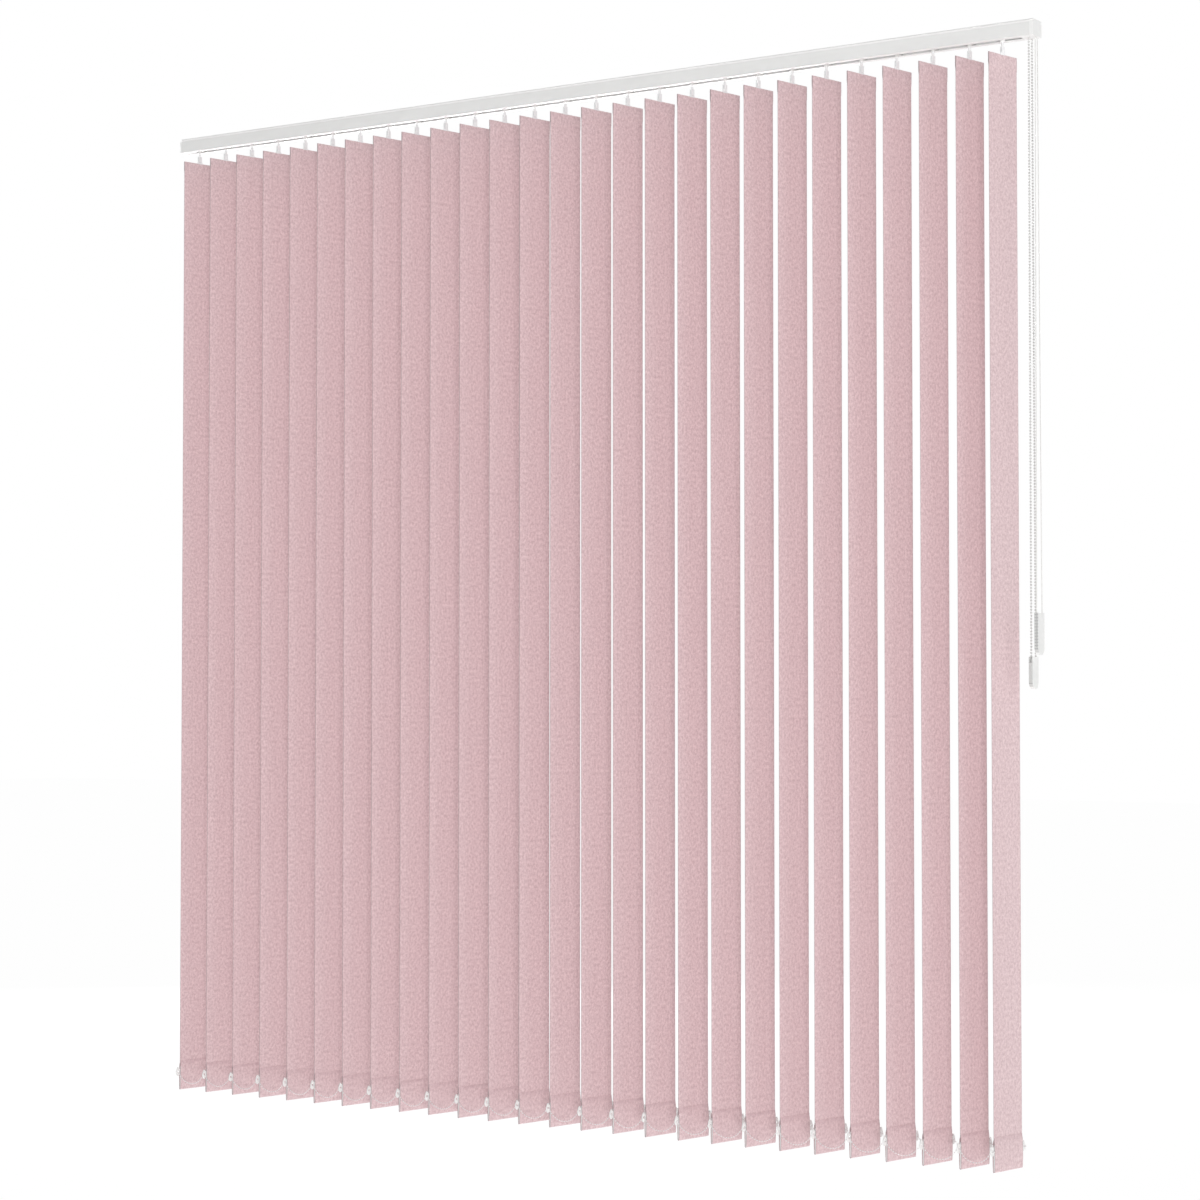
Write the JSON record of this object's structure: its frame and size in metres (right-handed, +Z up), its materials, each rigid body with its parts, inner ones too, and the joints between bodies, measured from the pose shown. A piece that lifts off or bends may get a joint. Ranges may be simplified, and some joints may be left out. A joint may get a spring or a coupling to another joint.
{
  "type": "vertical blind",
  "caption": "Vertical blind: fabric vanes hung on carriers in a white headrail, turned by a bead chain and drawn by a cord, linked by bottom chains.",
  "frame": {"origin": "middle of the headrail's top face, which goes against the ceiling", "axes": "+X along the headrail towards the control end, -Y towards the room, +Z up"},
  "size_m": [2.189, 0.1078, 2.239],
  "materials": {
    "rail_paint": "satin white paint",
    "cap_plastic": "white moulded plastic",
    "rod_metal": "mill finish",
    "chain_plastic": "white plastic",
    "cord_white": "braided white cord",
    "carrier_plastic": "white nylon",
    "vane_cloth": "stiffened mottled pink cloth"
  },
  "bodies": {
    "rail": {"headrail": "rail_paint", "end_caps": "cap_plastic", "tilt_chain": "chain_plastic", "traverse_cord": "cord_white"},
    "tilt_rod": {"tilt_rod": "rod_metal"},
    "carrier_01": {"carrier_01": "carrier_plastic"},
    "carrier_02": {"carrier_02": "carrier_plastic"},
    "carrier_03": {"carrier_03": "carrier_plastic"},
    "carrier_04": {"carrier_04": "carrier_plastic"},
    "carrier_05": {"carrier_05": "carrier_plastic"},
    "carrier_06": {"carrier_06": "carrier_plastic"},
    "carrier_07": {"carrier_07": "carrier_plastic"},
    "carrier_08": {"carrier_08": "carrier_plastic"},
    "carrier_09": {"carrier_09": "carrier_plastic"},
    "carrier_10": {"carrier_10": "carrier_plastic"},
    "carrier_11": {"carrier_11": "carrier_plastic"},
    "carrier_12": {"carrier_12": "carrier_plastic"},
    "carrier_13": {"carrier_13": "carrier_plastic"},
    "carrier_14": {"carrier_14": "carrier_plastic"},
    "carrier_15": {"carrier_15": "carrier_plastic"},
    "carrier_16": {"carrier_16": "carrier_plastic"},
    "carrier_17": {"carrier_17": "carrier_plastic"},
    "carrier_18": {"carrier_18": "carrier_plastic"},
    "carrier_19": {"carrier_19": "carrier_plastic"},
    "carrier_20": {"carrier_20": "carrier_plastic"},
    "carrier_21": {"carrier_21": "carrier_plastic"},
    "carrier_22": {"carrier_22": "carrier_plastic"},
    "carrier_23": {"carrier_23": "carrier_plastic"},
    "carrier_24": {"carrier_24": "carrier_plastic"},
    "carrier_25": {"carrier_25": "carrier_plastic"},
    "carrier_26": {"carrier_26": "carrier_plastic"},
    "vane_01": {"vane_01": "vane_cloth"},
    "vane_02": {"vane_02": "vane_cloth"},
    "vane_03": {"vane_03": "vane_cloth"},
    "vane_04": {"vane_04": "vane_cloth"},
    "vane_05": {"vane_05": "vane_cloth"},
    "vane_06": {"vane_06": "vane_cloth"},
    "vane_07": {"vane_07": "vane_cloth"},
    "vane_08": {"vane_08": "vane_cloth"},
    "vane_09": {"vane_09": "vane_cloth"},
    "vane_10": {"vane_10": "vane_cloth"},
    "vane_11": {"vane_11": "vane_cloth"},
    "vane_12": {"vane_12": "vane_cloth"},
    "vane_13": {"vane_13": "vane_cloth"},
    "vane_14": {"vane_14": "vane_cloth"},
    "vane_15": {"vane_15": "vane_cloth"},
    "vane_16": {"vane_16": "vane_cloth"},
    "vane_17": {"vane_17": "vane_cloth"},
    "vane_18": {"vane_18": "vane_cloth"},
    "vane_19": {"vane_19": "vane_cloth"},
    "vane_20": {"vane_20": "vane_cloth"},
    "vane_21": {"vane_21": "vane_cloth"},
    "vane_22": {"vane_22": "vane_cloth"},
    "vane_23": {"vane_23": "vane_cloth"},
    "vane_24": {"vane_24": "vane_cloth"},
    "vane_25": {"vane_25": "vane_cloth"},
    "vane_26": {"vane_26": "vane_cloth"},
    "vane_27": {"vane_27": "vane_cloth"},
    "bottom_chain_front": {"bottom_chain_front": "chain_plastic"},
    "bottom_chain_rear": {"bottom_chain_rear": "chain_plastic"}
  },
  "joints": [
    {"name": "carrier_01_slide", "type": "slide", "parent": "rail", "child": "carrier_01", "axis": [1, 0, 0], "range_m": [0, 1.603], "deforming": ["bottom_chain_front", "bottom_chain_rear"]},
    {"name": "carrier_02_slide", "type": "slide", "parent": "rail", "child": "carrier_02", "axis": [1, 0, 0], "range_m": [0, 1.541]},
    {"name": "carrier_03_slide", "type": "slide", "parent": "rail", "child": "carrier_03", "axis": [1, 0, 0], "range_m": [0, 1.479]},
    {"name": "carrier_04_slide", "type": "slide", "parent": "rail", "child": "carrier_04", "axis": [1, 0, 0], "range_m": [0, 1.417]},
    {"name": "carrier_05_slide", "type": "slide", "parent": "rail", "child": "carrier_05", "axis": [1, 0, 0], "range_m": [0, 1.355]},
    {"name": "carrier_06_slide", "type": "slide", "parent": "rail", "child": "carrier_06", "axis": [1, 0, 0], "range_m": [0, 1.293]},
    {"name": "carrier_07_slide", "type": "slide", "parent": "rail", "child": "carrier_07", "axis": [1, 0, 0], "range_m": [0, 1.231]},
    {"name": "carrier_08_slide", "type": "slide", "parent": "rail", "child": "carrier_08", "axis": [1, 0, 0], "range_m": [0, 1.169]},
    {"name": "carrier_09_slide", "type": "slide", "parent": "rail", "child": "carrier_09", "axis": [1, 0, 0], "range_m": [0, 1.107]},
    {"name": "carrier_10_slide", "type": "slide", "parent": "rail", "child": "carrier_10", "axis": [1, 0, 0], "range_m": [0, 1.045]},
    {"name": "carrier_11_slide", "type": "slide", "parent": "rail", "child": "carrier_11", "axis": [1, 0, 0], "range_m": [0, 0.983]},
    {"name": "carrier_12_slide", "type": "slide", "parent": "rail", "child": "carrier_12", "axis": [1, 0, 0], "range_m": [0, 0.921]},
    {"name": "carrier_13_slide", "type": "slide", "parent": "rail", "child": "carrier_13", "axis": [1, 0, 0], "range_m": [0, 0.859]},
    {"name": "carrier_14_slide", "type": "slide", "parent": "rail", "child": "carrier_14", "axis": [1, 0, 0], "range_m": [0, 0.797]},
    {"name": "carrier_15_slide", "type": "slide", "parent": "rail", "child": "carrier_15", "axis": [1, 0, 0], "range_m": [0, 0.735]},
    {"name": "carrier_16_slide", "type": "slide", "parent": "rail", "child": "carrier_16", "axis": [1, 0, 0], "range_m": [0, 0.673]},
    {"name": "carrier_17_slide", "type": "slide", "parent": "rail", "child": "carrier_17", "axis": [1, 0, 0], "range_m": [0, 0.611]},
    {"name": "carrier_18_slide", "type": "slide", "parent": "rail", "child": "carrier_18", "axis": [1, 0, 0], "range_m": [0, 0.549]},
    {"name": "carrier_19_slide", "type": "slide", "parent": "rail", "child": "carrier_19", "axis": [1, 0, 0], "range_m": [0, 0.487]},
    {"name": "carrier_20_slide", "type": "slide", "parent": "rail", "child": "carrier_20", "axis": [1, 0, 0], "range_m": [0, 0.425]},
    {"name": "carrier_21_slide", "type": "slide", "parent": "rail", "child": "carrier_21", "axis": [1, 0, 0], "range_m": [0, 0.363]},
    {"name": "carrier_22_slide", "type": "slide", "parent": "rail", "child": "carrier_22", "axis": [1, 0, 0], "range_m": [0, 0.301]},
    {"name": "carrier_23_slide", "type": "slide", "parent": "rail", "child": "carrier_23", "axis": [1, 0, 0], "range_m": [0, 0.239]},
    {"name": "carrier_24_slide", "type": "slide", "parent": "rail", "child": "carrier_24", "axis": [1, 0, 0], "range_m": [0, 0.177]},
    {"name": "carrier_25_slide", "type": "slide", "parent": "rail", "child": "carrier_25", "axis": [1, 0, 0], "range_m": [0, 0.115]},
    {"name": "carrier_26_slide", "type": "slide", "parent": "rail", "child": "carrier_26", "axis": [1, 0, 0], "range_m": [0, 0.053]},
    {"name": "vane_01_tilt", "type": "hinge", "parent": "carrier_01", "child": "vane_01", "pos_m": [-1.0505, 0, -0.032], "axis": [0, 0, 1], "range_deg": [-62, 88]},
    {"name": "vane_02_tilt", "type": "hinge", "parent": "carrier_02", "child": "vane_02", "pos_m": [-0.9705, 0, -0.032], "axis": [0, 0, 1], "range_deg": [-62, 88]},
    {"name": "vane_03_tilt", "type": "hinge", "parent": "carrier_03", "child": "vane_03", "pos_m": [-0.8905, 0, -0.032], "axis": [0, 0, 1], "range_deg": [-62, 88]},
    {"name": "vane_04_tilt", "type": "hinge", "parent": "carrier_04", "child": "vane_04", "pos_m": [-0.8105, 0, -0.032], "axis": [0, 0, 1], "range_deg": [-62, 88]},
    {"name": "vane_05_tilt", "type": "hinge", "parent": "carrier_05", "child": "vane_05", "pos_m": [-0.7305, 0, -0.032], "axis": [0, 0, 1], "range_deg": [-62, 88]},
    {"name": "vane_06_tilt", "type": "hinge", "parent": "carrier_06", "child": "vane_06", "pos_m": [-0.6505, 0, -0.032], "axis": [0, 0, 1], "range_deg": [-62, 88]},
    {"name": "vane_07_tilt", "type": "hinge", "parent": "carrier_07", "child": "vane_07", "pos_m": [-0.5705, 0, -0.032], "axis": [0, 0, 1], "range_deg": [-62, 88]},
    {"name": "vane_08_tilt", "type": "hinge", "parent": "carrier_08", "child": "vane_08", "pos_m": [-0.4905, 0, -0.032], "axis": [0, 0, 1], "range_deg": [-62, 88]},
    {"name": "vane_09_tilt", "type": "hinge", "parent": "carrier_09", "child": "vane_09", "pos_m": [-0.4105, 0, -0.032], "axis": [0, 0, 1], "range_deg": [-62, 88]},
    {"name": "vane_10_tilt", "type": "hinge", "parent": "carrier_10", "child": "vane_10", "pos_m": [-0.3305, 0, -0.032], "axis": [0, 0, 1], "range_deg": [-62, 88]},
    {"name": "vane_11_tilt", "type": "hinge", "parent": "carrier_11", "child": "vane_11", "pos_m": [-0.2505, 0, -0.032], "axis": [0, 0, 1], "range_deg": [-62, 88]},
    {"name": "vane_12_tilt", "type": "hinge", "parent": "carrier_12", "child": "vane_12", "pos_m": [-0.1705, 0, -0.032], "axis": [0, 0, 1], "range_deg": [-62, 88]},
    {"name": "vane_13_tilt", "type": "hinge", "parent": "carrier_13", "child": "vane_13", "pos_m": [-0.0905, 0, -0.032], "axis": [0, 0, 1], "range_deg": [-62, 88]},
    {"name": "vane_14_tilt", "type": "hinge", "parent": "carrier_14", "child": "vane_14", "pos_m": [-0.0105, 0, -0.032], "axis": [0, 0, 1], "range_deg": [-62, 88]},
    {"name": "vane_15_tilt", "type": "hinge", "parent": "carrier_15", "child": "vane_15", "pos_m": [0.0695, 0, -0.032], "axis": [0, 0, 1], "range_deg": [-62, 88]},
    {"name": "vane_16_tilt", "type": "hinge", "parent": "carrier_16", "child": "vane_16", "pos_m": [0.1495, 0, -0.032], "axis": [0, 0, 1], "range_deg": [-62, 88]},
    {"name": "vane_17_tilt", "type": "hinge", "parent": "carrier_17", "child": "vane_17", "pos_m": [0.2295, 0, -0.032], "axis": [0, 0, 1], "range_deg": [-62, 88]},
    {"name": "vane_18_tilt", "type": "hinge", "parent": "carrier_18", "child": "vane_18", "pos_m": [0.3095, 0, -0.032], "axis": [0, 0, 1], "range_deg": [-62, 88]},
    {"name": "vane_19_tilt", "type": "hinge", "parent": "carrier_19", "child": "vane_19", "pos_m": [0.3895, 0, -0.032], "axis": [0, 0, 1], "range_deg": [-62, 88]},
    {"name": "vane_20_tilt", "type": "hinge", "parent": "carrier_20", "child": "vane_20", "pos_m": [0.4695, 0, -0.032], "axis": [0, 0, 1], "range_deg": [-62, 88]},
    {"name": "vane_21_tilt", "type": "hinge", "parent": "carrier_21", "child": "vane_21", "pos_m": [0.5495, 0, -0.032], "axis": [0, 0, 1], "range_deg": [-62, 88]},
    {"name": "vane_22_tilt", "type": "hinge", "parent": "carrier_22", "child": "vane_22", "pos_m": [0.6295, 0, -0.032], "axis": [0, 0, 1], "range_deg": [-62, 88]},
    {"name": "vane_23_tilt", "type": "hinge", "parent": "carrier_23", "child": "vane_23", "pos_m": [0.7095, 0, -0.032], "axis": [0, 0, 1], "range_deg": [-62, 88]},
    {"name": "vane_24_tilt", "type": "hinge", "parent": "carrier_24", "child": "vane_24", "pos_m": [0.7895, 0, -0.032], "axis": [0, 0, 1], "range_deg": [-62, 88]},
    {"name": "vane_25_tilt", "type": "hinge", "parent": "carrier_25", "child": "vane_25", "pos_m": [0.8695, 0, -0.032], "axis": [0, 0, 1], "range_deg": [-62, 88]},
    {"name": "vane_26_tilt", "type": "hinge", "parent": "carrier_26", "child": "vane_26", "pos_m": [0.9495, 0, -0.032], "axis": [0, 0, 1], "range_deg": [-62, 88]},
    {"name": "vane_27_tilt", "type": "hinge", "parent": "rail", "child": "vane_27", "pos_m": [1.0205, 0, -0.032], "axis": [0, 0, 1], "range_deg": [-62, 88]},
    {"name": "tilt_rod_turn", "type": "hinge", "parent": "rail", "child": "tilt_rod", "pos_m": [0, 0.00736, -0.0165], "axis": [1, 0, 0], "range_deg": [-558, 792]},
    {"name": "bottom_chain_front_swing", "type": "hinge", "parent": "vane_14", "child": "bottom_chain_front", "pos_m": [-0.02175, -0.04872, -2.197], "axis": [0, 0, 1], "range_deg": [-88, 62]},
    {"name": "bottom_chain_rear_swing", "type": "hinge", "parent": "vane_14", "child": "bottom_chain_rear", "pos_m": [0.00075, 0.04872, -2.197], "axis": [0, 0, 1], "range_deg": [-88, 62]}
  ],
  "couplings": [
    {"joint": "carrier_02_slide", "follows": "carrier_01_slide", "ratio": 0.96132},
    {"joint": "carrier_03_slide", "follows": "carrier_01_slide", "ratio": 0.92265},
    {"joint": "carrier_04_slide", "follows": "carrier_01_slide", "ratio": 0.88397},
    {"joint": "carrier_05_slide", "follows": "carrier_01_slide", "ratio": 0.84529},
    {"joint": "carrier_06_slide", "follows": "carrier_01_slide", "ratio": 0.80661},
    {"joint": "carrier_07_slide", "follows": "carrier_01_slide", "ratio": 0.76794},
    {"joint": "carrier_08_slide", "follows": "carrier_01_slide", "ratio": 0.72926},
    {"joint": "carrier_09_slide", "follows": "carrier_01_slide", "ratio": 0.69058},
    {"joint": "carrier_10_slide", "follows": "carrier_01_slide", "ratio": 0.6519},
    {"joint": "carrier_11_slide", "follows": "carrier_01_slide", "ratio": 0.61323},
    {"joint": "carrier_12_slide", "follows": "carrier_01_slide", "ratio": 0.57455},
    {"joint": "carrier_13_slide", "follows": "carrier_01_slide", "ratio": 0.53587},
    {"joint": "carrier_14_slide", "follows": "carrier_01_slide", "ratio": 0.49719},
    {"joint": "carrier_15_slide", "follows": "carrier_01_slide", "ratio": 0.45852},
    {"joint": "carrier_16_slide", "follows": "carrier_01_slide", "ratio": 0.41984},
    {"joint": "carrier_17_slide", "follows": "carrier_01_slide", "ratio": 0.38116},
    {"joint": "carrier_18_slide", "follows": "carrier_01_slide", "ratio": 0.34248},
    {"joint": "carrier_19_slide", "follows": "carrier_01_slide", "ratio": 0.30381},
    {"joint": "carrier_20_slide", "follows": "carrier_01_slide", "ratio": 0.26513},
    {"joint": "carrier_21_slide", "follows": "carrier_01_slide", "ratio": 0.22645},
    {"joint": "carrier_22_slide", "follows": "carrier_01_slide", "ratio": 0.18777},
    {"joint": "carrier_23_slide", "follows": "carrier_01_slide", "ratio": 0.1491},
    {"joint": "carrier_24_slide", "follows": "carrier_01_slide", "ratio": 0.11042},
    {"joint": "carrier_25_slide", "follows": "carrier_01_slide", "ratio": 0.07174},
    {"joint": "carrier_26_slide", "follows": "carrier_01_slide", "ratio": 0.033063},
    {"joint": "vane_01_tilt", "follows": "vane_27_tilt", "ratio": 1},
    {"joint": "vane_02_tilt", "follows": "vane_27_tilt", "ratio": 1},
    {"joint": "vane_03_tilt", "follows": "vane_27_tilt", "ratio": 1},
    {"joint": "vane_04_tilt", "follows": "vane_27_tilt", "ratio": 1},
    {"joint": "vane_05_tilt", "follows": "vane_27_tilt", "ratio": 1},
    {"joint": "vane_06_tilt", "follows": "vane_27_tilt", "ratio": 1},
    {"joint": "vane_07_tilt", "follows": "vane_27_tilt", "ratio": 1},
    {"joint": "vane_08_tilt", "follows": "vane_27_tilt", "ratio": 1},
    {"joint": "vane_09_tilt", "follows": "vane_27_tilt", "ratio": 1},
    {"joint": "vane_10_tilt", "follows": "vane_27_tilt", "ratio": 1},
    {"joint": "vane_11_tilt", "follows": "vane_27_tilt", "ratio": 1},
    {"joint": "vane_12_tilt", "follows": "vane_27_tilt", "ratio": 1},
    {"joint": "vane_13_tilt", "follows": "vane_27_tilt", "ratio": 1},
    {"joint": "vane_14_tilt", "follows": "vane_27_tilt", "ratio": 1},
    {"joint": "vane_15_tilt", "follows": "vane_27_tilt", "ratio": 1},
    {"joint": "vane_16_tilt", "follows": "vane_27_tilt", "ratio": 1},
    {"joint": "vane_17_tilt", "follows": "vane_27_tilt", "ratio": 1},
    {"joint": "vane_18_tilt", "follows": "vane_27_tilt", "ratio": 1},
    {"joint": "vane_19_tilt", "follows": "vane_27_tilt", "ratio": 1},
    {"joint": "vane_20_tilt", "follows": "vane_27_tilt", "ratio": 1},
    {"joint": "vane_21_tilt", "follows": "vane_27_tilt", "ratio": 1},
    {"joint": "vane_22_tilt", "follows": "vane_27_tilt", "ratio": 1},
    {"joint": "vane_23_tilt", "follows": "vane_27_tilt", "ratio": 1},
    {"joint": "vane_24_tilt", "follows": "vane_27_tilt", "ratio": 1},
    {"joint": "vane_25_tilt", "follows": "vane_27_tilt", "ratio": 1},
    {"joint": "vane_26_tilt", "follows": "vane_27_tilt", "ratio": 1},
    {"joint": "tilt_rod_turn", "follows": "vane_27_tilt", "ratio": 9},
    {"joint": "bottom_chain_front_swing", "follows": "vane_27_tilt", "ratio": -1},
    {"joint": "bottom_chain_rear_swing", "follows": "vane_27_tilt", "ratio": -1}
  ]
}
